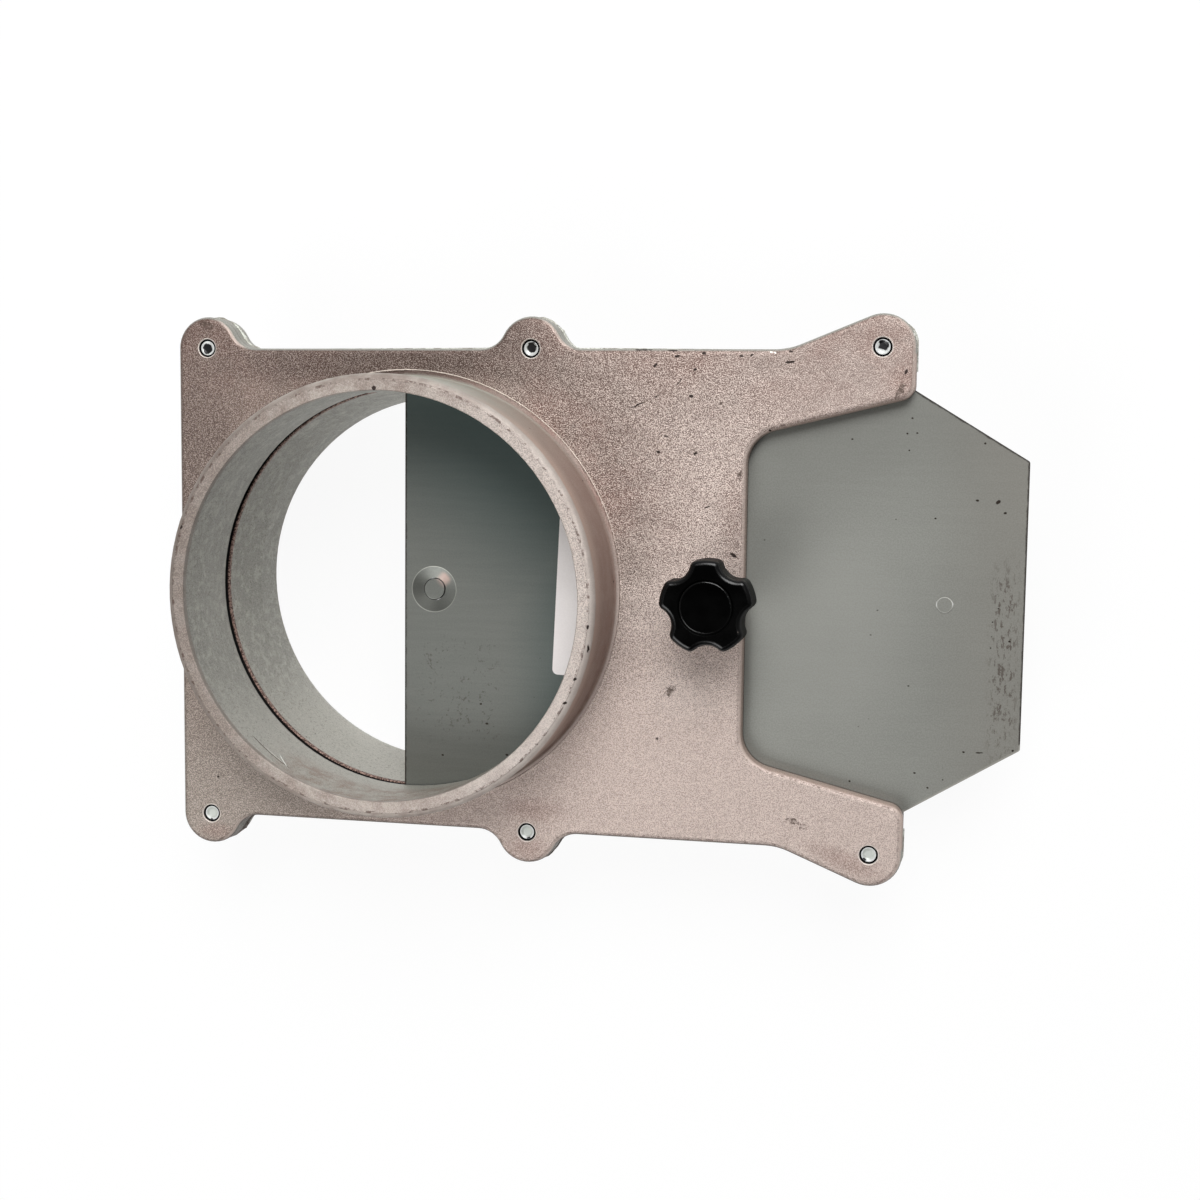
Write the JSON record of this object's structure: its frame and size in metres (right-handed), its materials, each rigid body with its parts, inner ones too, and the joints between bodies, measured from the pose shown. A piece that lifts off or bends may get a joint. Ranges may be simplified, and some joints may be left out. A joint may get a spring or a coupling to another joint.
{
  "type": "blast gate",
  "caption": "Sliding duct gate: cast aluminium halves with round collars hold a flat blade, locked by a lobed knob; shown half open.",
  "frame": {"origin": "centre of the rear collar's rim, which the gate rests on", "axes": "+Z along the duct from the rear collar to the front collar and knob, +X the way the blade pulls out, +Y across the gate"},
  "size_m": [0.1994, 0.1288, 0.055],
  "materials": {
    "cast_aluminium": "as cast, shot-blasted",
    "blade_sheet": "satin rolled sheet",
    "zinc_steel": "zinc plated",
    "knob_plastic": "glossy moulded black"
  },
  "bodies": {
    "housing": {"front_casting": "cast_aluminium", "rear_casting": "cast_aluminium", "body_screw_1": "zinc_steel", "body_screw_2": "zinc_steel", "body_screw_3": "zinc_steel", "body_screw_4": "zinc_steel", "body_screw_5": "zinc_steel", "body_screw_6": "zinc_steel", "lock_washer_1": "zinc_steel", "lock_washer_2": "zinc_steel", "lock_washer_3": "zinc_steel", "lock_washer_4": "zinc_steel", "lock_washer_5": "zinc_steel", "lock_washer_6": "zinc_steel"},
    "gate": {"gate_blade": "blade_sheet", "open_stop_rivet": "blade_sheet", "closed_index_pin": "blade_sheet"},
    "stud": {"lock_stud": "zinc_steel"},
    "knob": {"lock_knob": "knob_plastic", "knob_cap": "knob_plastic"}
  },
  "joints": [
    {"name": "blade_slide", "type": "slide", "parent": "housing", "child": "gate", "axis": [1, 0, 0], "range_m": [-0.0506, 0.0685]},
    {"name": "stud_advance", "type": "slide", "parent": "housing", "child": "stud", "axis": [0, 0, 1], "range_m": [0, 0.0021]},
    {"name": "knob_turn", "type": "hinge", "parent": "stud", "child": "knob", "pos_m": [0.0739, 0, 0.048], "axis": [0, 0, 1], "range_deg": [0, 720]}
  ],
  "couplings": [
    {"joint": "stud_advance", "follows": "knob_turn", "m_per_rad": 0.00015915}
  ]
}
